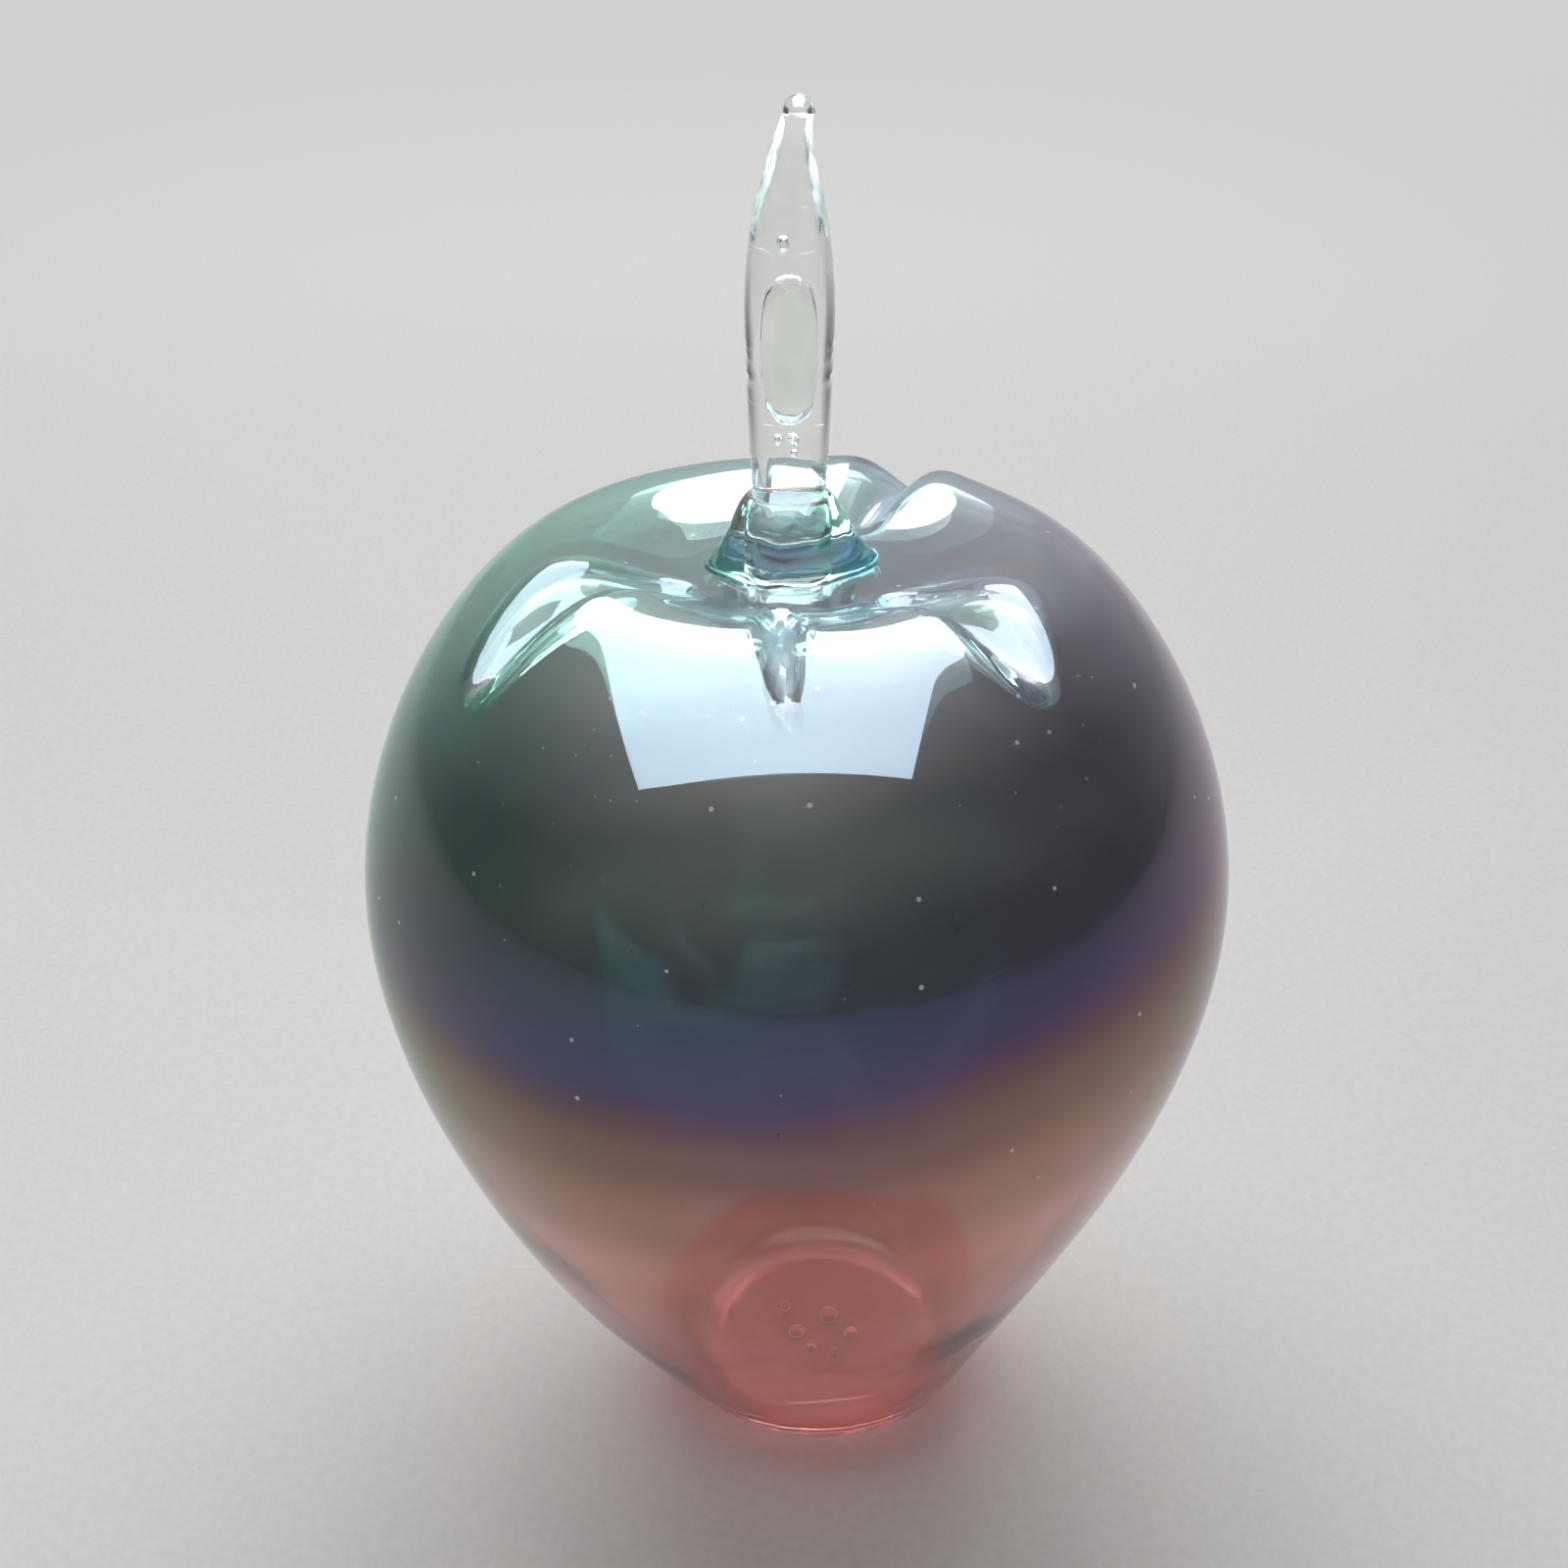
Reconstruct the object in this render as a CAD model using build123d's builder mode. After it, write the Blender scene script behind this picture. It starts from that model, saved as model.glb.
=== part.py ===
from build123d import *
from math import cos, exp, hypot, pi, radians, sin
import os

# Hollow blown apple of art glass with a crimped crown and an applied stem.
# Millimetres, +Z up, origin at the centre of the flat foot.

# Outer outline of the body, measured from the body's own axis
belly_radius = 50.0
belly_height = 75.5
crest_radius = 25.5
crest_height = 117.0
foot_radius = 12.5
heel_radius = 21.0
heel_height = 5.1
taper_angle = 58.0
dish_depth = 3.4

# Pulls of the curves that join those places
foot_pull = 4.9
heel_pull = 3.8
taper_pull = 17.7
belly_pull_down = 24.7
belly_pull_up = 22.0
crest_pull_out = 8.4
crest_pull_in = 4.5
seat_pull = 6.0

# The foot stands to one side of the body axis, and the lowest part of the wall leans over to it
foot_shift = 3.9
lean_height = 38.0

# Glass thickness: an even wall that grows toward the foot
wall = 2.4
heel_thickness = 3.8
hollow_floor_radius = 9.0
hollow_heel_radius = 19.4
hollow_heel_height = 7.2
hollow_floor_pull = 6.0
hollow_heel_pull = 3.6

# Creases pressed into the crown: azimuth and drift in degrees, depth, half width, reach down the shoulder
creases = [
    (-150.0, 0.0, 4.4, 2.8, 16.5),
    (-94.5, 3.0, 2.8, 1.7, 10.2),
    (-47.0, 0.0, 4.6, 3.2, 11.5),
    (63.0, 0.0, 4.2, 3.4, 13.0),
]
crease_reach_into_dish = 13.0
crease_fade = 0.8
crease_end_narrowing = 0.55
lip_share = 0.25
lip_spread = 2.0

# Collar: a bell of glass wrapped round the stem where it meets the crown
stem_shift = -0.9
collar_height = 8.2
collar_skirt_radius = 8.0
collar_rim_height = 0.5
collar_neck_thickness = 0.5
collar_skirt_pull = 1.0
collar_neck_pull_out = 2.1
collar_neck_pull_down = 1.2
collar_pinch = 0.9
seat_margin = 0.1
joint_gap = 0.05

# Lobes drawn out of the collar's skirt: azimuth in degrees, reach, half width in degrees
collar_lobes = [
    (14.0, 2.3, 26.0),
    (190.0, 1.5, 34.0),
]

# Stem: a solid pulled rod with a ball at its tip, whose rounded plug closes the neck of the body
plug_radius = 3.75
plug_reach = 1.6
plug_rounding = 2.6
stem_shoulder = 0.2
stem_length = 41.0
stem_half_width = 4.7
stem_half_depth = 3.9
stem_ball_radius = 1.6
stem_ball_step = 0.1
stem_lean = 0.9
stem_bow = 0.9
stem_bend = 14

# Sections at even steps between the stem's foot and its ball: shares of its half width and half depth,
# and squareness, which is 2 for an ellipse, more for a squared one and less for a pinched one
stem_profile = [
    (0.89, 0.97, 2.2),
    (0.94, 0.97, 2.4),
    (0.98, 0.99, 2.5),
    (1.00, 1.00, 2.5),
    (0.94, 0.94, 2.3),
    (0.79, 0.79, 1.8),
    (0.53, 0.59, 1.5),
]

# How finely the formed skins are described
ring_points = 192
heel_steps = 4
taper_steps = 7
shoulder_steps = 12
dish_steps = 7
collar_points = 60
collar_steps = 6
stem_points = 48

collar_reach = collar_skirt_radius + max(lobe_reach for azimuth, lobe_reach, half_width in collar_lobes)
collar_neck_radius = plug_radius + joint_gap + collar_neck_thickness
seat_radius = collar_reach + abs(stem_shift) + seat_margin
seat_height = crest_height - dish_depth
collar_top = seat_height + collar_height
rod_length = stem_length - stem_ball_radius
stem_foot_radius = plug_radius + stem_shoulder
stem_tip_radius = stem_ball_radius - stem_ball_step
body_axis = -foot_shift
stem_axis = body_axis + stem_shift


def bezier(start, start_pull, end_pull, end, t):
    """Point of a cubic curve in the (radius, height) plane."""
    a, b = (1 - t) ** 3, 3 * (1 - t) ** 2 * t
    c, d = 3 * (1 - t) * t**2, t**3
    return tuple(a * p + b * q + c * r + d * s for p, q, r, s in zip(start, start_pull, end_pull, end))


def along(start, start_pull, end_pull, end, steps):
    """Evenly stepped points of a cubic curve, without its last point."""
    return [bezier(start, start_pull, end_pull, end, i / steps) for i in range(steps)]


def crown_outline(inset):
    """Belly, shoulder, crest and dish, moved into the glass by inset."""
    belly = (belly_radius - inset, belly_height)
    crest = (crest_radius, crest_height - inset)
    seat = (seat_radius, seat_height - inset)
    shoulder = along(
        belly,
        (belly[0], belly[1] + belly_pull_up),
        (crest[0] + crest_pull_out, crest[1]),
        crest,
        shoulder_steps,
    )
    dish = along(
        crest,
        (crest[0] - crest_pull_in, crest[1]),
        (seat[0] + seat_pull, seat[1]),
        seat,
        dish_steps,
    )
    return shoulder + dish + [seat]


def outer_outline():
    """Foot, heel, taper and belly, then the crown."""
    run = cos(radians(taper_angle))
    rise = sin(radians(taper_angle))
    foot = (foot_radius, 0.0)
    heel = (heel_radius, heel_height)
    belly = (belly_radius, belly_height)
    heel_curve = along(
        foot,
        (foot[0] + foot_pull, foot[1]),
        (heel[0] - heel_pull * run, heel[1] - heel_pull * rise),
        heel,
        heel_steps,
    )
    taper = along(
        heel,
        (heel[0] + taper_pull * run, heel[1] + taper_pull * rise),
        (belly[0], belly[1] - belly_pull_down),
        belly,
        taper_steps,
    )
    return heel_curve + taper + crown_outline(0.0)


def hollow_outline():
    """Inside of the wall: a rounded floor and heel, the taper, then the crown."""
    run = cos(radians(taper_angle))
    rise = sin(radians(taper_angle))
    floor = (hollow_floor_radius, heel_thickness)
    heel = (hollow_heel_radius, hollow_heel_height)
    belly = (belly_radius - wall, belly_height)
    bowl = along(
        floor,
        (floor[0] + hollow_floor_pull, floor[1]),
        (heel[0] - hollow_heel_pull * run, heel[1] - hollow_heel_pull * rise),
        heel,
        heel_steps,
    )
    taper = along(
        heel,
        (heel[0] + taper_pull * run, heel[1] + taper_pull * rise),
        (belly[0], belly[1] - belly_pull_down),
        belly,
        taper_steps,
    )
    return bowl + taper + crown_outline(wall)


def turn_from(azimuth, degrees):
    """Angle from a direction given in degrees, between minus and plus half a turn."""
    return (azimuth - radians(degrees) + pi) % (2 * pi) - pi


def press(radius, height, azimuth, inset):
    """How far the creases push in the crown at a place on it, with a raised lip on each side."""
    from_crest = hypot(radius - crest_radius, height - (crest_height - inset))
    total = 0.0
    for crease_azimuth, drift, depth, half_width, reach in creases:
        limit, side = (reach, 1) if radius > crest_radius else (crease_reach_into_dish, -1)
        if height < belly_height or from_crest >= limit:
            continue
        share = from_crest / limit
        fade = (1 - share**2) ** crease_fade
        turn = turn_from(azimuth, crease_azimuth + drift * side * share)
        across = turn * radius / (half_width * (1 - crease_end_narrowing * (1 - fade)))
        valley = exp(-(across**2))
        lips = lip_share * exp(-((across / lip_spread) ** 2))
        total += depth * fade * (valley - lips) / (1 - lip_share)
    return total


def lean(height):
    """Sideways place of the body's section at a height."""
    low = max(0.0, 1 - height / lean_height)
    return body_axis + foot_shift * low**2


def closed_curve(points):
    """Closed smooth curve through points that are evenly spread round an axis."""
    turns = [i / len(points) for i in range(len(points) + 1)]
    return Edge.make_spline(points, periodic=True, parameters=turns)


def body_ring(radius, height, inset):
    """Section of the body, with the creases pressed toward the middle of the belly."""
    points = []
    for i in range(ring_points):
        azimuth = 2 * pi * i / ring_points
        depth = press(radius, height, azimuth, inset)
        slant = hypot(radius, height - belly_height)
        share = depth / slant if slant > 0 else 0.0
        ring_radius = radius * (1 - share)
        ring_height = height - (height - belly_height) * share
        x = lean(height) + ring_radius * cos(azimuth)
        points.append((x, ring_radius * sin(azimuth), ring_height))
    return Wire([closed_curve(points)])


def collar_outline(radius, rise):
    """Section of the collar: drawn in at the creases of the crown, drawn out where its skirt has lobes."""
    points = []
    low = 1 - rise / collar_height
    for i in range(collar_points):
        azimuth = 2 * pi * i / collar_points
        ring_radius = radius
        for crease_azimuth, drift, depth, half_width, reach in creases:
            across = turn_from(azimuth, crease_azimuth - drift) * radius / half_width
            ring_radius -= collar_pinch * low * exp(-(across**2))
        for lobe_azimuth, lobe_reach, lobe_width in collar_lobes:
            across = turn_from(azimuth, lobe_azimuth) / radians(lobe_width)
            ring_radius += lobe_reach * low**2 * exp(-(across**2))
        points.append((stem_axis + ring_radius * cos(azimuth), ring_radius * sin(azimuth)))
    return closed_curve(points)


def stem_outline(share, half_width, half_depth, squareness):
    """Section of the stem: a squared or pinched ellipse, set aside where the tip bends over."""
    points = []
    bend = share**stem_bend
    for i in range(stem_points):
        across = cos(2 * pi * i / stem_points)
        deep = sin(2 * pi * i / stem_points)
        size = (abs(across) ** squareness + abs(deep) ** squareness) ** (-1 / squareness)
        x = stem_axis + stem_lean * bend + half_width * size * across
        points.append((x, half_depth * size * deep - stem_bow * bend))
    return closed_curve(points)


stem_sections = [(stem_foot_radius, stem_foot_radius, 2.0)]
stem_sections += [(stem_half_width * w, stem_half_depth * d, squareness) for w, d, squareness in stem_profile]
stem_sections += [(stem_tip_radius, stem_tip_radius, 2.0)]

outer_skin = Solid.make_loft([body_ring(r, z, 0.0) for r, z in outer_outline()])
hollow = Solid.make_loft([body_ring(r, z, wall) for r, z in hollow_outline()])

skirt_rim = (collar_skirt_radius, collar_rim_height)
skirt_neck = (collar_neck_radius, collar_height)
bell = along(
    skirt_rim,
    (skirt_rim[0] - collar_skirt_pull, skirt_rim[1]),
    (skirt_neck[0] + collar_neck_pull_out, skirt_neck[1] - collar_neck_pull_down),
    skirt_neck,
    collar_steps,
)
bell = [(collar_skirt_radius, 0.0)] + bell + [skirt_neck]

os.makedirs("parts", exist_ok=True)

with BuildPart() as blown_body:
    add(outer_skin)
    add(hollow, mode=Mode.SUBTRACT)
    with BuildSketch(Plane.XY.offset(seat_height)):
        with Locations((stem_axis, 0)):
            Circle(plug_radius + joint_gap)
    extrude(amount=-(wall + plug_reach), mode=Mode.SUBTRACT)

blown_body.part.label = "blown_body"
export_step(blown_body.part, "parts/blown_body.step")

with BuildPart() as stem_collar:
    for bell_radius, rise in bell:
        with BuildSketch(Plane.XY.offset(seat_height + rise)):
            with BuildLine():
                add(collar_outline(bell_radius, rise))
            make_face()
    loft()
    with BuildSketch(Plane.XY.offset(seat_height)):
        with Locations((stem_axis, 0)):
            Circle(plug_radius + joint_gap)
    extrude(amount=collar_height, mode=Mode.SUBTRACT)

stem_collar.part.label = "stem_collar"
export_step(stem_collar.part, "parts/stem_collar.step")

with BuildPart() as stem:
    for step, section in enumerate(stem_sections):
        share = step / (len(stem_sections) - 1)
        with BuildSketch(Plane.XY.offset(collar_top + rod_length * share)):
            with BuildLine():
                add(stem_outline(share, *section))
            make_face()
    loft()
    with Locations((stem_axis + stem_lean, -stem_bow, collar_top + rod_length)):
        Sphere(stem_ball_radius)
    with BuildSketch(Plane.XY.offset(collar_top)):
        with Locations((stem_axis, 0)):
            Circle(plug_radius)
    extrude(amount=-(collar_height + wall + plug_reach))
    fillet(stem.edges().sort_by(Axis.Z)[0], plug_rounding)

stem.part.label = "stem"
export_step(stem.part, "parts/stem.step")
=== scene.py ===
from math import cos, exp, hypot, pi, radians, sin, tau

import bpy
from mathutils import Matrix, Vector


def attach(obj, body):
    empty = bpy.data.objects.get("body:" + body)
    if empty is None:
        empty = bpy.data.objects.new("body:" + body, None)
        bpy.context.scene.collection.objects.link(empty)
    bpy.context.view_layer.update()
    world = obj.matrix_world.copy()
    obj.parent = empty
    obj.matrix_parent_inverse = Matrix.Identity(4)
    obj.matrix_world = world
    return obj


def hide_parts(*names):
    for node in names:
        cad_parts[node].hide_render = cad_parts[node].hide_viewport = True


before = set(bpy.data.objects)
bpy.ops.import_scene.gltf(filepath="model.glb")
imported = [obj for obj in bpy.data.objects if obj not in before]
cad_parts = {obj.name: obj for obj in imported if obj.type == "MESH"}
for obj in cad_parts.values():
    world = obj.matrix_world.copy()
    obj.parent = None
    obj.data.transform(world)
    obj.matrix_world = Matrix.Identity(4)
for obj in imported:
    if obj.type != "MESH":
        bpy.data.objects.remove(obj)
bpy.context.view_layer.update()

# Art glass apple: fine glass skins that stand for the three CAD nodes, on a plain floor under soft panels.
# Lengths are in millimetres, as in the part's source, and become metres where Blender takes them.
MM = 0.001

# Outer outline of the body, measured from the body's own axis
belly_radius = 50.0
belly_height = 75.5
crest_radius = 25.5
crest_height = 117.0
foot_radius = 12.5
heel_radius = 21.0
heel_height = 5.1
taper_angle = 58.0
dish_depth = 3.4

# Pulls of the curves that join those places
foot_pull = 4.9
heel_pull = 3.8
taper_pull = 17.7
belly_pull_down = 24.7
belly_pull_up = 22.0
crest_pull_out = 8.4
crest_pull_in = 4.5
seat_pull = 6.0

# The foot stands to one side of the body axis, and the lowest part of the wall leans over to it
foot_shift = 3.9
lean_height = 38.0

# Glass thickness: an even wall that grows toward the foot
wall = 2.4
heel_thickness = 3.8
hollow_floor_radius = 9.0
hollow_heel_radius = 19.4
hollow_heel_height = 7.2
hollow_floor_pull = 6.0
hollow_heel_pull = 3.6

# Ripples of the hollow: waves round the axis, their start in radians, and a stretch of height
ripple_depth = 0.16
wide_ripple = (2, 0.9, 19.0)
narrow_ripple = (5, 2.1, 13.0)

# Uneven lap of glass round the hollow's floor: waves round the axis and their start in radians
lap_depth = 0.24
lap_height = 9.5
lap_spread = 1.6
lap_wander = 0.5
lap_unevenness = 0.25
lap_waves = [(4, 2.6), (7, 0.4), (11, 1.7)]

# Creases pressed into the crown: azimuth and drift in degrees, depth, half width, reach down the shoulder
creases = [
    (-150.0, 0.0, 4.4, 2.8, 16.5),
    (-94.5, 3.0, 2.8, 1.7, 10.2),
    (-47.0, 0.0, 4.6, 3.2, 11.5),
    (63.0, 0.0, 4.2, 3.4, 13.0),
]
crease_reach_into_dish = 13.0
crease_fade = 0.8
crease_end_narrowing = 0.55
# Press depth at which a crease's painted highlight is full
crease_pale_depth = 1.4
lip_share = 0.25
lip_spread = 2.0

# Collar: a bell of glass wrapped round the stem where it meets the crown
stem_shift = -0.9
collar_height = 8.2
collar_skirt_radius = 8.0
collar_rim_height = 0.5
collar_neck_thickness = 0.5
collar_skirt_pull = 1.0
collar_neck_pull_out = 2.1
collar_neck_pull_down = 1.2
collar_pinch = 0.9
seat_margin = 0.1
joint_gap = 0.05

# Lobes of the collar's skirt: azimuth in degrees, reach, half width in degrees
collar_lobes = [(14.0, 2.3, 26.0), (190.0, 1.5, 34.0)]

# Stem: a solid pulled rod whose rounded plug closes the neck of the body
plug_radius = 3.75
plug_reach = 1.6
plug_rounding = 2.6
stem_shoulder = 0.2
stem_length = 41.0
stem_half_width = 4.7
stem_half_depth = 3.9
stem_ball_radius = 1.6
stem_ball_step = 0.1
stem_lean = 0.9
stem_bow = 0.9
stem_bend = 14

# Sections at even steps between the stem's foot and its ball: shares of its half width and half depth,
# and squareness, which is 2 for an ellipse, more for a squared one and less for a pinched one
round_squareness = 2.0
stem_profile = [
    (0.89, 0.97, 2.2),
    (0.94, 0.97, 2.4),
    (0.98, 0.99, 2.5),
    (1.00, 1.00, 2.5),
    (0.94, 0.94, 2.3),
    (0.79, 0.79, 1.8),
    (0.53, 0.59, 1.5),
]

# Tool nicks at the stem's sides: height, depth, half length
nicks = [(13.0, 0.35, 0.45), (15.2, 0.28, 0.35), (16.4, 0.2, 0.3)]
nick_narrowness = 8

# Core of the stem and its seeds, which are small bubbles: sideways, deep, height above the collar,
# radius, half length, and how far the skin is sealed
stem_seeds = [
    (0.0, 0.0, 15.7, 2.6, 7.8, 1.5),
    (-0.5, -0.6, 26.6, 0.55, 0.8, 0.0),
    (-0.9, 0.6, 6.2, 0.42, 0.6, 0.0),
    (0.3, -0.9, 6.7, 0.36, 0.55, 0.0),
    (0.5, 0.4, 6.1, 0.4, 0.6, 0.0),
    (0.4, -0.3, 4.9, 0.3, 0.45, 0.0),
]

# Seeds in the heel, with heights above the floor
heel_seeds = [
    (-3.6, -1.0, 1.9, 1.3, 1.1, 0.0),
    (-1.6, -4.4, 1.9, 0.8, 0.8, 0.0),
    (0.9, 1.6, 1.9, 1.5, 1.2, 0.0),
    (4.0, -1.8, 1.9, 1.1, 1.0, 0.0),
    (1.7, -5.4, 1.9, 0.7, 0.7, 0.0),
    (-5.2, 3.4, 1.9, 0.9, 0.9, 0.0),
]

# How finely the skins are drawn
ring_points = 288
heel_steps = 12
taper_steps = 34
hollow_steps = 50
shoulder_steps = 56
dish_steps = 30
collar_points = 144
collar_steps = 20
stem_points = 72
stem_steps = 90
rounding_steps = 8
ball_steps = 14
ball_start = -12.0
bubble_points = 24
bubble_rings = 24
bubble_roundness = 0.75
sharp_angle = 40.0

# Places and sizes that follow from those above
bore_radius = plug_radius + joint_gap
collar_reach = collar_skirt_radius + max(lobe_reach for azimuth, lobe_reach, half_width in collar_lobes)
collar_neck_radius = bore_radius + collar_neck_thickness
seat_radius = collar_reach + abs(stem_shift) + seat_margin
seat_height = crest_height - dish_depth
collar_top = seat_height + collar_height
rod_length = stem_length - stem_ball_radius
stem_foot_radius = plug_radius + stem_shoulder
stem_tip_radius = stem_ball_radius - stem_ball_step
stem_sections = [(stem_foot_radius, stem_foot_radius, round_squareness)]
for width_share, depth_share, squareness in stem_profile:
    stem_sections.append((stem_half_width * width_share, stem_half_depth * depth_share, squareness))
stem_sections.append((stem_tip_radius, stem_tip_radius, round_squareness))
body_axis = -foot_shift
stem_axis = body_axis + stem_shift

# Refractive indices, and the lower ones where hot glass has run together
glass_index = 1.5
collar_index = 1.27
fused_index = 1.0
stem_fused_index = 1.25

# Noise in the surfaces: cells in a metre, detail, roughness
drift_noise = (22.0, 2.0, 0.5)
smear_noise = (60.0, 5.0, 0.6)
wave_noise = (38.0, 1.0, 0.5)
collar_noise = (180.0, 3.0, 0.5)
stem_noise = (240.0, 3.0, 0.5)
drawn_noise = (420.0, 1.0, 0.5)
frost_noise = (500.0, 2.0, 0.5)
floor_noise = (700.0, 3.0, 0.6)
drawn_stretch = (1.0, 1.0, 0.06)

# Heights of the waves that the noise raises
body_waves = 0.4
collar_waves = 0.3
stem_waves = 0.5

# The body's looks go by level, from 0 at the foot to 1 at the crest, tilted to one side and drifting
level_tilt = 0.10
level_drift = 12.0

# Colours of the wall by level: cranberry heel, indigo belly, smoky teal crown
wall_colours = [
    (0.03, (0.96, 0.42, 0.41)),
    (0.14, (0.88, 0.37, 0.35)),
    (0.28, (0.66, 0.29, 0.26)),
    (0.42, (0.46, 0.19, 0.18)),
    (0.51, (0.15, 0.062, 0.072)),
    (0.60, (0.022, 0.012, 0.022)),
    (0.67, (0.0040, 0.0060, 0.016)),
    (0.79, (0.0040, 0.012, 0.016)),
    (0.88, (0.018, 0.055, 0.052)),
    (0.94, (0.14, 0.25, 0.23)),
    (0.99, (0.42, 0.56, 0.52)),
]

# Deeper colours by level where the wall is seen aslant, and how aslant that is
rim_colours = [
    (0.12, (0.50, 0.15, 0.15)),
    (0.32, (0.24, 0.08, 0.09)),
    (0.58, (0.16, 0.12, 0.16)),
    (0.80, (0.35, 0.62, 0.52)),
]
rim_shares = [(0.70, 0.0), (0.97, 1.0)]

# Tints of the upper wall from its left side to its right one, and the levels where they set in
side_colours = [(0.10, (0.55, 1.0, 0.86)), (0.50, (0.85, 0.90, 1.0)), (0.90, (1.0, 0.72, 0.95))]
side_shares = [(0.55, 0.0), (0.68, 1.0)]

# Cranberry gather on the hollow's floor, with clear glass above it
gather_colours = [(0.082, (0.97, 0.34, 0.34)), (0.096, (0.98, 0.99, 0.99))]

# Creases are painted pale, a painted highlight for the light that runs along them and shines in their
# walls, and are a little milky
crease_painted_light_colour = (0.62, 0.85, 0.82, 1.0)
crease_milk = 0.35

# Pale specks in the upper wall: cells in a metre, size in a cell, share of the cells that have one
speck_scale = 300.0
speck_size = 0.075
speck_chance = 0.4
speck_shares = [(0.45, 0.0), (0.60, 1.0)]
speck_colour = (0.82, 0.88, 0.88, 1.0)
speck_milk = 0.8

# Thin film on the outer face: full thickness in nanometres and its share by level, and its index
film_thickness = 272.0
film_shares = [
    (0.20, 0.0),
    (0.38, 0.36),
    (0.60, 0.46),
    (0.72, 0.60),
    (0.82, 0.70),
    (0.92, 0.78),
    (1.00, 0.82),
]
film_index = 1.5
film_index_rise = 0.37
film_index_shares = [(0.70, 1.0), (0.85, 0.18)]

# Haze of the crown and fog of the belly by level, and the fog's tints from left to right
crown_haze = [(0.70, 0.0), (0.86, 0.42), (0.98, 0.85)]
haze_coat = 0.4
haze_roughness = 0.55
haze_index = 1.75
belly_fog = [(0.44, 0.0), (0.58, 0.45), (0.80, 0.62)]
fog_colours = [(0.12, (0.36, 0.90, 0.74)), (0.48, (0.52, 0.70, 0.95)), (0.82, (0.80, 0.62, 0.88))]
fog_sheen = 0.65
fog_roughness = 0.5

# Roughness of the faint smears and of the ground foot
smear_roughness = 0.06
smear_power = 3.0
ground_roughness = 0.25

# Collar: streaks of colour, and tints from its left flank to its right one
collar_colours = [(0.35, (0.80, 0.93, 0.92)), (0.65, (0.95, 0.98, 0.98))]
flank_colours = [
    (0.10, (0.45, 0.86, 0.66)),
    (0.36, (0.96, 1.0, 1.0)),
    (0.62, (0.96, 1.0, 1.0)),
    (0.88, (0.42, 0.86, 0.90)),
]
collar_roughness = 0.01

# Stem: nearly clear
stem_colours = [(0.3, (0.90, 0.93, 0.91)), (0.7, (0.98, 0.98, 0.965))]
stem_roughness = 0.012

# Plain floor, which fades into the backdrop before its edges
floor_half = 2400.0
floor_colours = [(0.3, (0.73, 0.73, 0.72)), (0.7, (0.77, 0.77, 0.76))]
floor_roughness = 0.75
floor_fade = [(0.20, 1.0), (0.62, 0.0)]

# Dark cards beside and behind the object, fading toward their edges
card_side = 230.0
card_front = 40.0
card_back = 560.0
card_top = 260.0
card_colour = (0.03, 0.03, 0.03, 1.0)
card_roughness = 0.9
card_fade = [(0.0, 0.0), (0.35, 1.0), (0.7, 1.0), (1.0, 0.0)]

# World: colour, and how far a direction points to the back where its light leaves dim and reaches pale
world_colour = (1.0, 1.0, 0.99, 1.0)
pale_from = 0.1
pale_to = 0.8

# Camera and the size of the picture that it was fitted to
camera_place = (-5.35, -200.1, 192.5)
camera_tilt = 27.93
picture_width = 1600
focal_pixels = 1995
sensor_width = 36.0


def in_metres(place):
    """Place or corner in Blender's unit."""
    return tuple(c * MM for c in place)


def add_object(name, data):
    """Object in the scene for a mesh, a lamp or a camera."""
    made = bpy.data.objects.new(name, data)
    bpy.context.collection.objects.link(made)
    return made


def add_mesh(name, points, faces):
    """Object in the scene with a mesh of its own."""
    mesh = bpy.data.meshes.new(name)
    mesh.from_pydata([in_metres(point) for point in points], [], faces)
    return add_object(name, mesh)


def bezier(start, start_pull, end_pull, end, t):
    """Point of a cubic curve in the (radius, height) plane."""
    a, b = (1 - t) ** 3, 3 * (1 - t) ** 2 * t
    c, d = 3 * (1 - t) * t**2, t**3
    return tuple(a * p + b * q + c * r + d * s for p, q, r, s in zip(start, start_pull, end_pull, end))


def along(start, start_pull, end_pull, end, steps):
    """Evenly stepped points of a cubic curve, without its last point."""
    return [bezier(start, start_pull, end_pull, end, i / steps) for i in range(steps)]


def crown_outline(inset):
    """Belly, shoulder, crest and dish, moved into the glass by inset."""
    belly = (belly_radius - inset, belly_height)
    crest = (crest_radius, crest_height - inset)
    seat = (seat_radius, seat_height - inset)
    shoulder = along(
        belly,
        (belly[0], belly[1] + belly_pull_up),
        (crest[0] + crest_pull_out, crest[1]),
        crest,
        shoulder_steps,
    )
    dish = along(
        crest,
        (crest[0] - crest_pull_in, crest[1]),
        (seat[0] + seat_pull, seat[1]),
        seat,
        dish_steps,
    )
    return shoulder + dish + [seat]


def wall_outline(bottom, bottom_pull, heel, into_heel_pull, inset, steps):
    """Bottom, heel, taper and belly of one face of the wall, then its crown."""
    run = cos(radians(taper_angle))
    rise = sin(radians(taper_angle))
    belly = (belly_radius - inset, belly_height)
    bowl = along(
        bottom,
        (bottom[0] + bottom_pull, bottom[1]),
        (heel[0] - into_heel_pull * run, heel[1] - into_heel_pull * rise),
        heel,
        heel_steps,
    )
    taper = along(
        heel,
        (heel[0] + taper_pull * run, heel[1] + taper_pull * rise),
        (belly[0], belly[1] - belly_pull_down),
        belly,
        steps,
    )
    return bowl + taper + crown_outline(inset)


def outer_outline():
    """Outer face of the wall, from the flat foot up."""
    foot = (foot_radius, 0.0)
    heel = (heel_radius, heel_height)
    return wall_outline(foot, foot_pull, heel, heel_pull, 0.0, taper_steps)


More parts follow.
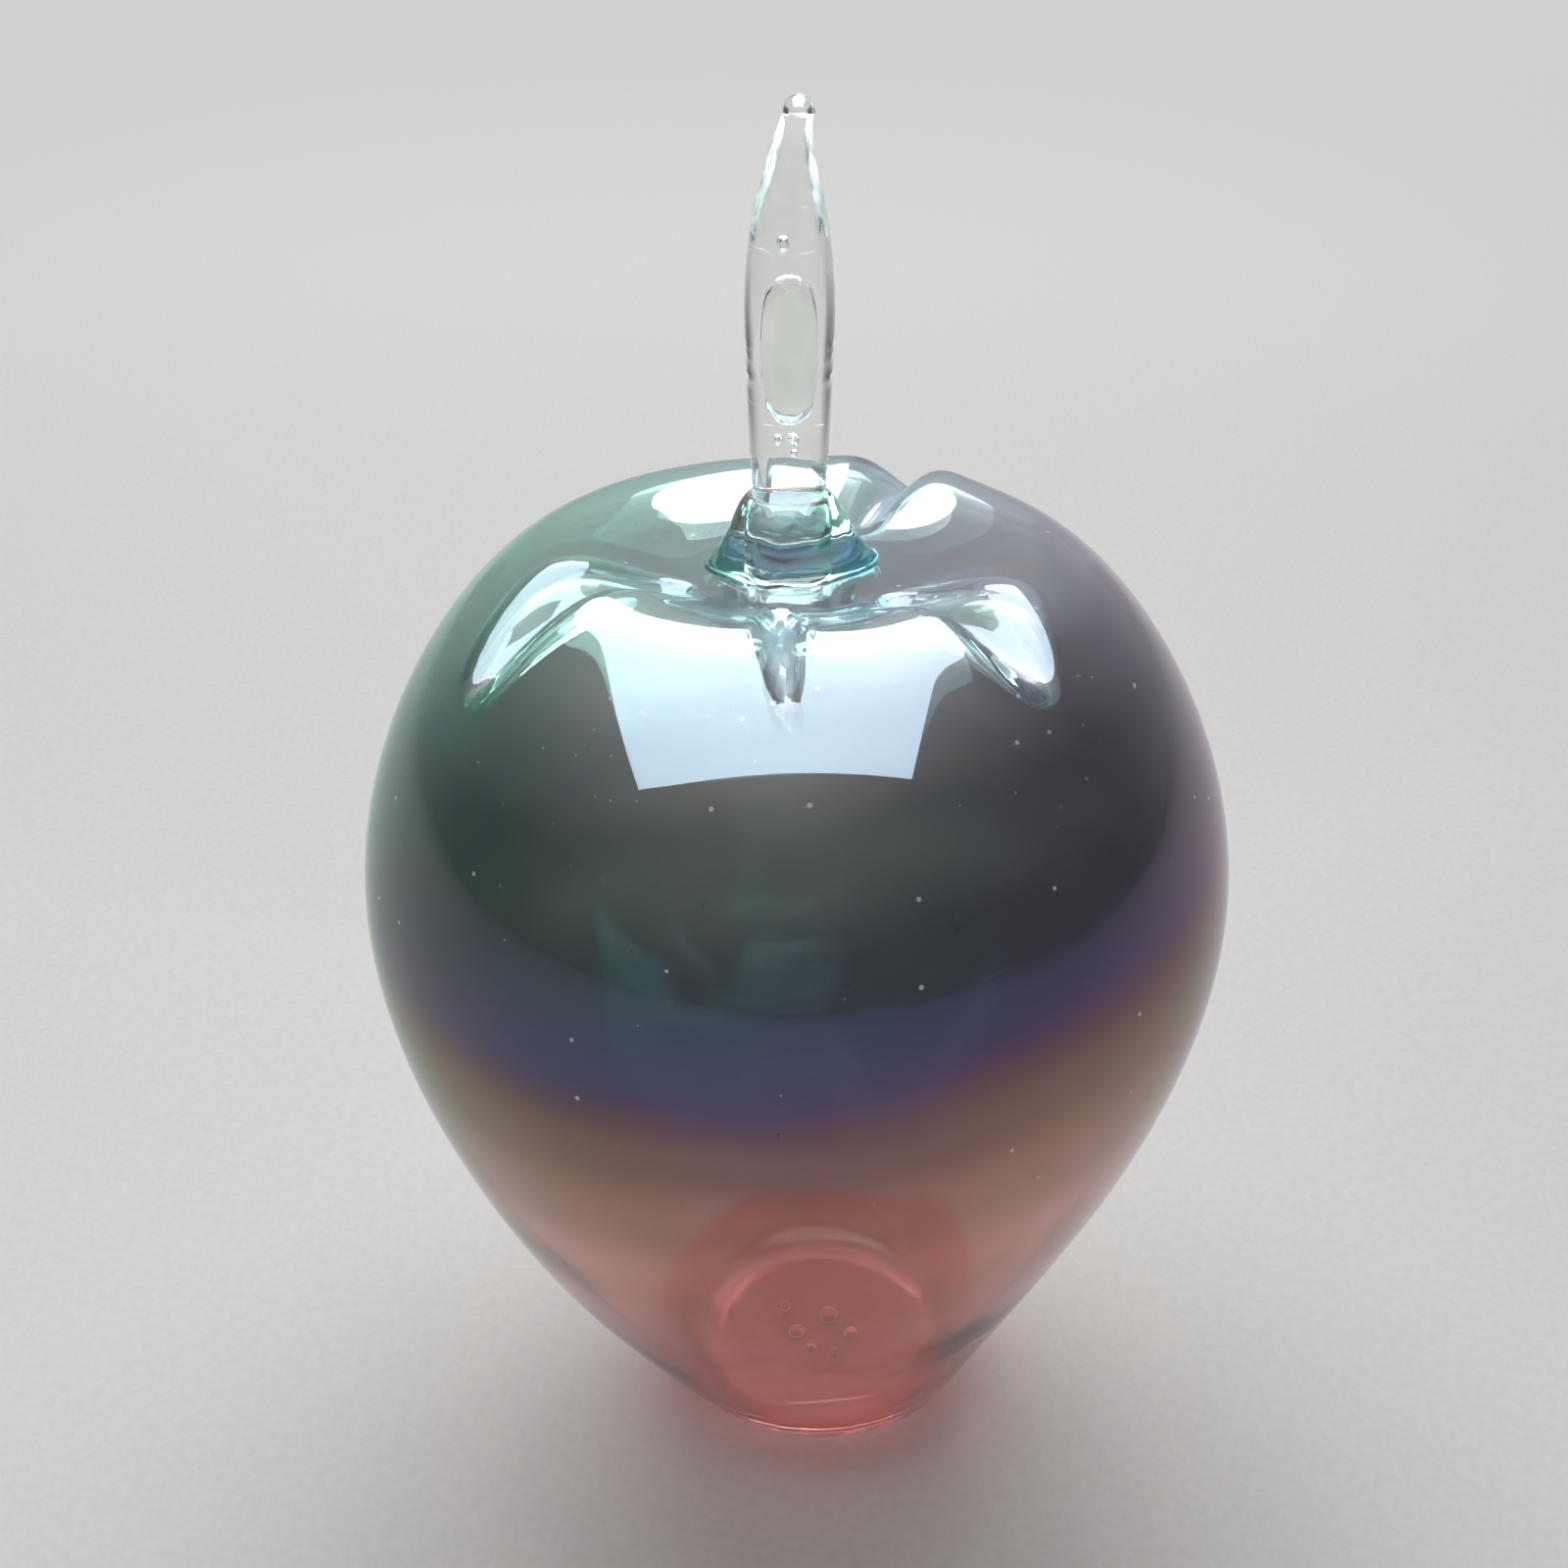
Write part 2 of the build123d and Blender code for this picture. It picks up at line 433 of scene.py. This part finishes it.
def hollow_outline():
    """Inner face of the wall, from the hollow's rounded floor up."""
    floor = (hollow_floor_radius, heel_thickness)
    heel = (hollow_heel_radius, hollow_heel_height)
    return wall_outline(floor, hollow_floor_pull, heel, hollow_heel_pull, wall, hollow_steps)


def turn_from(azimuth, degrees):
    """Angle from a direction given in degrees, between minus and plus half a turn."""
    return (azimuth - radians(degrees) + pi) % tau - pi


def press(radius, height, azimuth, inset):
    """How far the creases push in the crown at a place on it, with a raised lip on each side."""
    from_crest = hypot(radius - crest_radius, height - (crest_height - inset))
    total = 0.0
    for crease_azimuth, drift, depth, half_width, reach in creases:
        limit, side = (reach, 1) if radius > crest_radius else (crease_reach_into_dish, -1)
        if height < belly_height or from_crest >= limit:
            continue
        share = from_crest / limit
        fade = (1 - share**2) ** crease_fade
        turn = turn_from(azimuth, crease_azimuth + drift * side * share)
        across = turn * radius / (half_width * (1 - crease_end_narrowing * (1 - fade)))
        valley = exp(-(across**2))
        lips = lip_share * exp(-((across / lip_spread) ** 2))
        total += depth * fade * (valley - lips) / (1 - lip_share)
    return total


def lean(height):
    """Sideways place of the body's section at a height."""
    low = max(0.0, 1 - height / lean_height)
    return body_axis + foot_shift * low**2


def ripple(height, azimuth):
    """Slow unevenness of the blown inner face, and the lap round its floor, thickest at the back."""
    waves, start, stretch = wide_ripple
    wide = sin(waves * azimuth + start) * cos(height / stretch)
    waves, start, stretch = narrow_ripple
    narrow = sin(waves * azimuth + start) * sin(height / stretch)
    bumps = sum(sin(waves * azimuth + start) for waves, start in lap_waves)
    from_lap = (height - lap_height - lap_wander * bumps) / lap_spread
    lap = lap_depth * (1 + sin(azimuth)) * (1 + lap_unevenness * bumps)
    return ripple_depth * (wide + narrow) / 2 + lap * exp(-(from_lap**2))


def body_ring(radius, height, inset):
    """Section of the body, with the creases pressed toward the middle of the belly."""
    points = []
    for i in range(ring_points):
        azimuth = tau * i / ring_points
        depth = press(radius, height, azimuth, inset)
        slant = hypot(radius, height - belly_height)
        share = depth / slant if slant > 0 else 0.0
        ring_radius = radius * (1 - share)
        if inset:
            ring_radius -= (ripple_depth + ripple(height, azimuth)) * min(1.0, radius / heel_radius)
        ring_height = height - (height - belly_height) * share
        x = lean(height) + ring_radius * cos(azimuth)
        y = ring_radius * sin(azimuth)
        points.append((x, y, ring_height))
    return points


def round_ring(radius, height, count, x=stem_axis, y=0.0):
    """Circle about an upright axis."""
    turns = [tau * i / count for i in range(count)]
    return [(x + radius * cos(turn), y + radius * sin(turn), height) for turn in turns]


def collar_ring(radius, rise, count=collar_points):
    """Section of the collar: drawn in at the creases of the crown, drawn out where its skirt has lobes."""
    points = []
    low = 1 - rise / collar_height
    for i in range(count):
        azimuth = tau * i / count
        ring_radius = radius
        for crease_azimuth, drift, depth, half_width, reach in creases:
            across = turn_from(azimuth, crease_azimuth - drift) * radius / half_width
            ring_radius -= collar_pinch * low * exp(-(across**2))
        for lobe_azimuth, lobe_reach, lobe_width in collar_lobes:
            across = turn_from(azimuth, lobe_azimuth) / radians(lobe_width)
            ring_radius += lobe_reach * low**2 * exp(-(across**2))
        x = stem_axis + ring_radius * cos(azimuth)
        y = ring_radius * sin(azimuth)
        points.append((x, y, seat_height + rise))
    return points


def stem_section(share):
    """Half width, half depth and squareness of the stem, on a smooth curve through its sections."""
    last = len(stem_sections) - 1
    i = min(int(share * last), last - 1)
    t = share * last - i
    around = [stem_sections[min(max(k, 0), last)] for k in range(i - 1, i + 3)]
    sizes = []
    for before, low, high, after in zip(*around):
        low_slope = (high - before) / 2
        high_slope = (after - low) / 2
        sizes.append(
            low * (1 + 2 * t) * (1 - t) ** 2
            + low_slope * t * (1 - t) ** 2
            + high * t**2 * (3 - 2 * t)
            + high_slope * t**2 * (t - 1)
        )
    return sizes


def stem_ring(share):
    """Section of the stem: a squared or pinched ellipse with small tool nicks on both sides."""
    half_width, half_depth, squareness = stem_section(share)
    rise = joint_gap + (rod_length - joint_gap) * share
    x = stem_axis + stem_lean * share**stem_bend
    y = -stem_bow * share**stem_bend
    points = []
    for i in range(stem_points):
        across = cos(tau * i / stem_points)
        deep = sin(tau * i / stem_points)
        size = (abs(across) ** squareness + abs(deep) ** squareness) ** (-1 / squareness)
        for nick_rise, depth, half_length in nicks:
            beside = exp(-(((rise - nick_rise) / half_length) ** 2))
            size -= depth / half_width * across**nick_narrowness * beside
        points.append((x + half_width * size * across, y + half_depth * size * deep, collar_top + rise))
    return points


def band_faces(ring_count, points_in_ring, wrap):
    """Faces between neighbouring rings, and from the last ring to the first one if wrapped."""
    faces = []
    for k in range(ring_count if wrap else ring_count - 1):
        low = k * points_in_ring
        high = (k + 1) % ring_count * points_in_ring
        for i in range(points_in_ring):
            j = (i + 1) % points_in_ring
            faces.append((low + i, low + j, high + j, high + i))
    return faces


def add_caps(points, faces, rings):
    """Fans that close the first and the last ring, each about a point in its middle."""
    count = len(rings[0])
    for k, turn in ((0, -1), (len(rings) - 1, 1)):
        points.append(tuple(sum(axis) / count for axis in zip(*rings[k])))
        for i in range(count):
            edge = (k * count + i, k * count + (i + 1) % count)[::turn]
            faces.append((*edge, len(points) - 1))


def add_bubble(points, faces, centre, radius, half_length):
    """Round void: a small ball whose faces look inward, drawn out upward."""
    x, y, z = centre
    base = len(points)
    for k in range(bubble_rings):
        slant = pi * (k + 0.5) / bubble_rings
        girth = radius * sin(slant) ** bubble_roundness
        points.extend(round_ring(girth, z - half_length * cos(slant), bubble_points, x, y))
    last = base + (bubble_rings - 1) * bubble_points
    for face in band_faces(bubble_rings, bubble_points, False):
        low_i, low_j, high_j, high_i = (base + k for k in face)
        faces.append((low_j, low_i, high_i, high_j))
    faces.append(tuple(base + i for i in range(bubble_points)))
    faces.append(tuple(last + i for i in reversed(range(bubble_points))))


def skin(name, rings, wrap, sealed_bands, bubbles=()):
    """Closed smooth mesh over rings of points: wrapped round to its first ring, or capped at both ends.

    The attribute "sealed" tells how far a face has run together with the hot glass beside it.
    """
    count = len(rings[0])
    points = [point for ring in rings for point in ring]
    faces = band_faces(len(rings), count, wrap)
    if not wrap:
        add_caps(points, faces, rings)
    shares = {k: 1.0 for band in sealed_bands for k in range(band * count, (band + 1) * count)}
    for *centre, radius, half_length, share in bubbles:
        first = len(faces)
        add_bubble(points, faces, centre, radius, half_length)
        shares.update({k: share for k in range(first, len(faces))})
    piece = add_mesh(name, points, faces)
    sealed = piece.data.attributes.new("sealed", "FLOAT", "FACE")
    for k, share in shares.items():
        sealed.data[k].value = share
    piece.data.shade_smooth()
    piece.data.set_sharp_from_angle(angle=radians(sharp_angle))
    return piece


def mark_inside(piece, first_ring, ring_count):
    """Attribute that is 1 on the hollow and the seeds and 0 elsewhere."""
    inside = piece.data.attributes.new("inside", "FLOAT", "POINT")
    for k in range(first_ring * ring_points, len(piece.data.vertices)):
        inside.data[k].value = 1.0
    foot_middle = ring_count * ring_points
    inside.data[foot_middle].value = 0.0


def mark_creases(piece):
    """Attribute with the share by which each place of the outer face is pressed in."""
    pressed = piece.data.attributes.new("pressed", "FLOAT", "POINT")
    for k, (radius, height) in enumerate(outer_outline()):
        for i in range(ring_points):
            depth = press(radius, height, tau * i / ring_points, 0.0)
            share = min(max(0.0, depth / crease_pale_depth), 1.0)
            pressed.data[k * ring_points + i].value = share**2 * (3 - 2 * share)


def make_body():
    """Outer face from the foot up, seat under the collar, bore of the neck, then the hollow downward."""
    rings = [body_ring(radius, height, 0.0) for radius, height in outer_outline()]
    seat = len(rings)
    rings.append(collar_ring(collar_skirt_radius, 0.0, ring_points))
    rings += [round_ring(bore_radius, height, ring_points) for height in (seat_height, seat_height - wall)]
    rings += [body_ring(radius, height, wall) for radius, height in reversed(hollow_outline())]
    piece = skin("glass_body", rings, False, [seat, seat + 1], heel_seeds)
    mark_inside(piece, seat + 2, len(rings))
    mark_creases(piece)
    return piece


def make_collar():
    """Bell from the skirt up, then the bore downward, wrapped round to the skirt."""
    skirt = (collar_skirt_radius, joint_gap)
    rim = (collar_skirt_radius, collar_rim_height)
    neck = (collar_neck_radius, collar_height)
    bell = along(
        rim,
        (rim[0] - collar_skirt_pull, rim[1]),
        (neck[0] + collar_neck_pull_out, neck[1] - collar_neck_pull_down),
        neck,
        collar_steps,
    )
    rings = [collar_ring(radius, rise) for radius, rise in [skirt] + bell + [neck]]
    bore = len(rings)
    for rise in (collar_height, joint_gap):
        rings.append(round_ring(bore_radius, seat_height + rise, collar_points))
    return skin("glass_collar", rings, True, [bore, bore + 1])


def make_stem():
    """Rounded plug, shoulder on the collar, pulled rod and ball."""
    rings = []
    plug_foot = seat_height - wall - plug_reach
    for i in range(rounding_steps + 1):
        turn = pi / 2 * i / rounding_steps
        radius = plug_radius - plug_rounding * (1 - sin(turn))
        rings.append(round_ring(radius, plug_foot + plug_rounding * (1 - cos(turn)), stem_points))
    rings.append(round_ring(plug_radius, collar_top + joint_gap, stem_points))
    rings += [stem_ring(i / stem_steps) for i in range(stem_steps)]
    for i in range(ball_steps):
        turn = radians(ball_start + (90 - ball_start) * i / ball_steps)
        radius = stem_ball_radius * cos(turn)
        height = collar_top + rod_length + stem_ball_radius * sin(turn)
        rings.append(round_ring(radius, height, stem_points, stem_axis + stem_lean, -stem_bow))
    seeds = [(stem_axis + x, y, collar_top + rise, *sizes) for x, y, rise, *sizes in stem_seeds]
    return skin("glass_stem", rings, False, [rounding_steps, rounding_steps + 1], seeds)


class Nodes:
    """Short way to add and join the shader nodes of a material or of the world."""

    def __init__(self, owner, shader="Principled BSDF"):
        owner.use_nodes = True
        self.owner = owner
        self.tree = owner.node_tree
        self.shader = self.tree.nodes[shader]

    def add(self, kind, inputs=(), **settings):
        node = self.tree.nodes.new(kind)
        for key, value in settings.items():
            setattr(node, key, value)
        for socket, value in dict(inputs).items():
            self.join(value, node.inputs[socket])
        return node

    def join(self, value, socket):
        if isinstance(value, bpy.types.NodeSocket):
            self.tree.links.new(value, socket)
        else:
            socket.default_value = value

    def set(self, **values):
        """Values of the shader's own sockets, with _ for the spaces in their names."""
        for key, value in values.items():
            self.join(value, self.shader.inputs[key.replace("_", " ")])

    def math(self, operation, *values, clamp=False):
        node = self.add("ShaderNodeMath", dict(enumerate(values)), operation=operation, use_clamp=clamp)
        return node.outputs[0]

    def times(self, first, second):
        return self.math("MULTIPLY", first, second)

    def larger(self, first, second):
        return self.math("MAXIMUM", first, second)

    def rest(self, share):
        return self.math("SUBTRACT", 1.0, share)

    def mix(self, share, first, second, blend="MIX"):
        inputs = {0: share, 6: first, 7: second}
        node = self.add("ShaderNodeMix", inputs, data_type="RGBA", blend_type=blend)
        return node.outputs[2]

    def ramp(self, position, stops):
        """Smooth run of colours."""
        node = self.add("ShaderNodeValToRGB", {0: position})
        node.color_ramp.interpolation = "EASE"
        elements = node.color_ramp.elements
        while len(elements) < len(stops):
            elements.new(0.5)
        for element, (stop, colour) in zip(elements, stops):
            element.position = stop
            element.color = (*colour, 1.0)
        return node.outputs[0]

    def shares(self, position, stops):
        """Smooth run of shares from 0 to 1."""
        return self.ramp(position, [(stop, (share, share, share)) for stop, share in stops])

    def where(self, space="Object"):
        """Place that is shaded."""
        return self.add("ShaderNodeTexCoord").outputs[space]

    def axes(self, space="Object"):
        """Place that is shaded, as x, y and z."""
        return self.add("ShaderNodeSeparateXYZ", {0: self.where(space)}).outputs

    def attribute(self, name):
        return self.add("ShaderNodeAttribute", attribute_name=name).outputs["Fac"]

    def sealed_index(self, index, fused):
        """Refractive index that falls where the glass has run together with another piece."""
        fall = self.times(self.attribute("sealed"), index - fused)
        return self.math("SUBTRACT", index, fall)

    def noise(self, scale, detail, rough, stretch=(1.0, 1.0, 1.0)):
        where = self.add("ShaderNodeVectorMath", {0: self.where(), 1: stretch}, operation="MULTIPLY")
        inputs = {"Vector": where.outputs[0], "Scale": scale, "Detail": detail, "Roughness": rough}
        return self.add("ShaderNodeTexNoise", inputs).outputs[0]

    def specks(self, scale, size, chance):
        """Sparse small spots: 1 in a spot, 0 elsewhere."""
        cells = self.add("ShaderNodeTexVoronoi", {"Vector": self.where(), "Scale": scale})
        draw = self.add("ShaderNodeSeparateXYZ", {0: cells.outputs["Color"]}).outputs[0]
        chosen = self.math("LESS_THAN", draw, chance)
        return self.times(chosen, self.math("LESS_THAN", cells.outputs["Distance"], size))

    def bump(self, waves, height):
        inputs = {"Height": waves, "Strength": 1.0, "Distance": height * MM}
        return self.add("ShaderNodeBump", inputs).outputs["Normal"]


def body_level(n, x, z):
    """Level that the body's looks go by."""
    tilt = n.times(x, level_tilt)
    drift = n.times(n.math("SUBTRACT", n.noise(*drift_noise), 0.5), level_drift * MM)
    height = n.math("ADD", n.math("SUBTRACT", z, tilt), drift)
    return n.math("DIVIDE", height, crest_height * MM, clamp=True)


def wall_colour(n, level, sideways, pressed, specks):
    """Colour of the outer face by level and side, deeper at the rim, painted pale in the creases as
    painted light, and pale in specks.
    """
    facing = n.add("ShaderNodeLayerWeight", {"Blend": 0.5}).outputs["Facing"]
    rim = n.shares(facing, rim_shares)
    colour = n.mix(rim, n.ramp(level, wall_colours), n.ramp(level, rim_colours), "MULTIPLY")
    upper = n.shares(level, side_shares)
    colour = n.mix(upper, colour, n.ramp(sideways, side_colours), "MULTIPLY")
    # Painted highlight: creases are painted pale by how far they are pressed in
    colour = n.mix(pressed, colour, crease_painted_light_colour)
    return n.mix(specks, colour, speck_colour)


def body_glass():
    """Lustred glass on the outer face, clear glass and a cranberry gather on the inner one."""
    n = Nodes(bpy.data.materials.new("lustred_glass"))
    x, _, z = n.axes()
    level = body_level(n, x, z)
    sideways = n.math("ADD", 0.5, n.math("DIVIDE", x, 2 * belly_radius * MM))
    pressed = n.attribute("pressed")
    specks = n.times(n.specks(speck_scale, speck_size, speck_chance), n.shares(level, speck_shares))
    plain = n.larger(n.attribute("inside"), n.attribute("sealed"))
    lustred = n.rest(plain)
    colour = wall_colour(n, level, sideways, pressed, specks)
    film = n.times(n.shares(level, film_shares), film_thickness)
    film_rise = n.times(n.shares(level, film_index_shares), film_index_rise)
    haze = n.larger(n.larger(n.shares(level, crown_haze), pressed), specks)
    haze = n.times(haze, lustred)
    fog = n.larger(haze, n.times(n.shares(level, belly_fog), lustred))
    milk = n.larger(n.times(pressed, crease_milk), n.times(specks, speck_milk))
    smear = n.times(n.math("POWER", n.noise(*smear_noise), smear_power), smear_roughness)
    ground = n.math("LESS_THAN", z, joint_gap * MM)
    n.set(
        Base_Color=n.mix(plain, colour, n.ramp(level, gather_colours)),
        Roughness=n.larger(smear, n.times(ground, ground_roughness)),
        IOR=n.sealed_index(glass_index, fused_index),
        Transmission_Weight=n.rest(milk),
        Thin_Film_Thickness=n.times(film, lustred),
        Thin_Film_IOR=n.math("ADD", film_index, film_rise),
        Coat_Weight=n.times(haze, haze_coat),
        Coat_Roughness=haze_roughness,
        Coat_IOR=haze_index,
        Sheen_Weight=n.times(fog, fog_sheen),
        Sheen_Roughness=fog_roughness,
        Sheen_Tint=n.ramp(sideways, fog_colours),
        Normal=n.bump(n.noise(*wave_noise), body_waves),
    )
    return n.owner


def collar_glass():
    """Pale streaky glass with green and teal flanks."""
    n = Nodes(bpy.data.materials.new("teal_glass"))
    x, _, _ = n.axes()
    flow = n.noise(*collar_noise)
    aside = n.math("SUBTRACT", x, (stem_axis - collar_reach) * MM)
    aside = n.math("DIVIDE", aside, 2 * collar_reach * MM, clamp=True)
    n.set(
        Base_Color=n.mix(1.0, n.ramp(flow, collar_colours), n.ramp(aside, flank_colours), "MULTIPLY"),
        Roughness=collar_roughness,
        IOR=n.sealed_index(collar_index, fused_index),
        Transmission_Weight=1.0,
        Normal=n.bump(flow, collar_waves),
    )
    return n.owner


def stem_glass():
    """Clear glass with waves drawn out along the stem."""
    n = Nodes(bpy.data.materials.new("clear_glass"))
    n.set(
        Base_Color=n.ramp(n.noise(*stem_noise), stem_colours),
        Roughness=n.times(n.noise(*frost_noise), stem_roughness),
        IOR=n.sealed_index(glass_index, stem_fused_index),
        Transmission_Weight=1.0,
        Normal=n.bump(n.noise(*drawn_noise, drawn_stretch), stem_waves),
    )
    return n.owner


def floor_paint():
    """Pale, lightly mottled paint that thins out to nothing away from the object."""
    n = Nodes(bpy.data.materials.new("floor_paint"))
    distance = n.add("ShaderNodeVectorMath", {0: n.where()}, operation="LENGTH").outputs["Value"]
    share = n.math("DIVIDE", distance, floor_half * MM)
    n.set(
        Base_Color=n.ramp(n.noise(*floor_noise), floor_colours),
        Roughness=floor_roughness,
        Alpha=n.shares(share, floor_fade),
    )
    return n.owner


def card_paint(name):
    """Dark paint that thins out toward the edges of a card."""
    n = Nodes(bpy.data.materials.new(name))
    _, back, up = n.axes("Generated")
    alpha = n.times(n.shares(back, card_fade), n.shares(up, card_fade))
    n.set(Base_Color=card_colour, Roughness=card_roughness, Alpha=alpha)
    return n.owner


def lay_floor():
    """Plain floor just under the foot."""
    square = [(-1, -1), (1, -1), (1, 1), (-1, 1)]
    corners = [(x * floor_half, y * floor_half, -joint_gap) for x, y in square]
    floor = add_mesh("floor", corners, [(0, 1, 2, 3)])
    floor.data.materials.append(floor_paint())


def stand_card(name, x):
    """Dark card that only refracted rays meet, which gives clear glass its dark edges."""
    side = [(card_front, 0.0), (card_back, 0.0), (card_back, card_top), (card_front, card_top)]
    card = add_mesh(name, [(x, y, z) for y, z in side], [(0, 1, 2, 3)])
    card.data.materials.append(card_paint(name))
    card.visible_camera = False
    card.visible_diffuse = False
    card.visible_glossy = False
    card.visible_shadow = False


def hang_lamp(name, place, target, width, depth, radiance, mirrored):
    """Soft panel: either the one that polished glass mirrors, or the one that lights the floor."""
    lamp = bpy.data.lights.new(name, "AREA")
    lamp.shape = "RECTANGLE"
    lamp.size = width * MM
    lamp.size_y = depth * MM
    lamp.energy = radiance * pi * lamp.size * lamp.size_y
    holder = add_object(name, lamp)
    holder.location = in_metres(place)
    aim = Vector(target) - Vector(place)
    holder.rotation_euler = aim.to_track_quat("-Z", "Y").to_euler()
    holder.visible_camera = False
    holder.visible_diffuse = not mirrored
    holder.visible_glossy = mirrored


def set_world(backdrop, pale, dim):
    """Pale backdrop all round; as a light, pale behind the object and dim at its sides and front."""
    n = Nodes(bpy.data.worlds.new("studio"), "Background")
    _, back, _ = n.axes("Generated")
    inputs = {"Value": back, "From Min": pale_from, "From Max": pale_to, "To Min": dim, "To Max": pale}
    light = n.add("ShaderNodeMapRange", inputs, interpolation_type="SMOOTHSTEP").outputs[0]
    path = n.add("ShaderNodeLightPath").outputs
    seen = n.larger(path["Is Camera Ray"], path["Is Transmission Ray"])
    strength = n.add("ShaderNodeMix", {"Factor": seen, "A": light, "B": backdrop}).outputs[0]
    n.set(Color=world_colour, Strength=strength)
    bpy.context.scene.world = n.owner


def set_camera():
    """Camera fitted to the outline in the photograph."""
    data = bpy.data.cameras.new("camera")
    data.sensor_fit = "HORIZONTAL"
    data.sensor_width = sensor_width
    data.lens = sensor_width * focal_pixels / picture_width
    data.clip_start = MM
    camera = add_object("camera", data)
    camera.location = in_metres(camera_place)
    camera.rotation_euler = (radians(90 - camera_tilt), 0, 0)
    bpy.context.scene.camera = camera


for piece, node, slot, glass in (
    (make_body(), "blown_body", "body_glass", body_glass()),
    (make_collar(), "stem_collar", "collar_glass", collar_glass()),
    (make_stem(), "stem", "stem_glass", stem_glass()),
):
    piece.data.materials.append(glass)
    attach(piece, "root")
    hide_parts(node)

lay_floor()
stand_card("card_left", -card_side)
stand_card("card_right", card_side)
hang_lamp(
    "softbox_mirrored",
    place=(-65, 213, 573),
    target=(-65, 385, 73),
    width=560,
    depth=1065,
    radiance=11.0,
    mirrored=True,
)
hang_lamp(
    "softbox_on_floor",
    place=(-60, 1120, 1500),
    target=(0, 640, 0),
    width=2200,
    depth=2200,
    radiance=1.92,
    mirrored=False,
)
set_world(backdrop=0.63, pale=0.45, dim=0.06)
set_camera()
bpy.context.scene.view_settings.view_transform = "Standard"
bpy.context.scene.cycles.max_bounces = 32
bpy.context.scene.cycles.transmission_bounces = 32
bpy.context.scene.cycles.glossy_bounces = 16
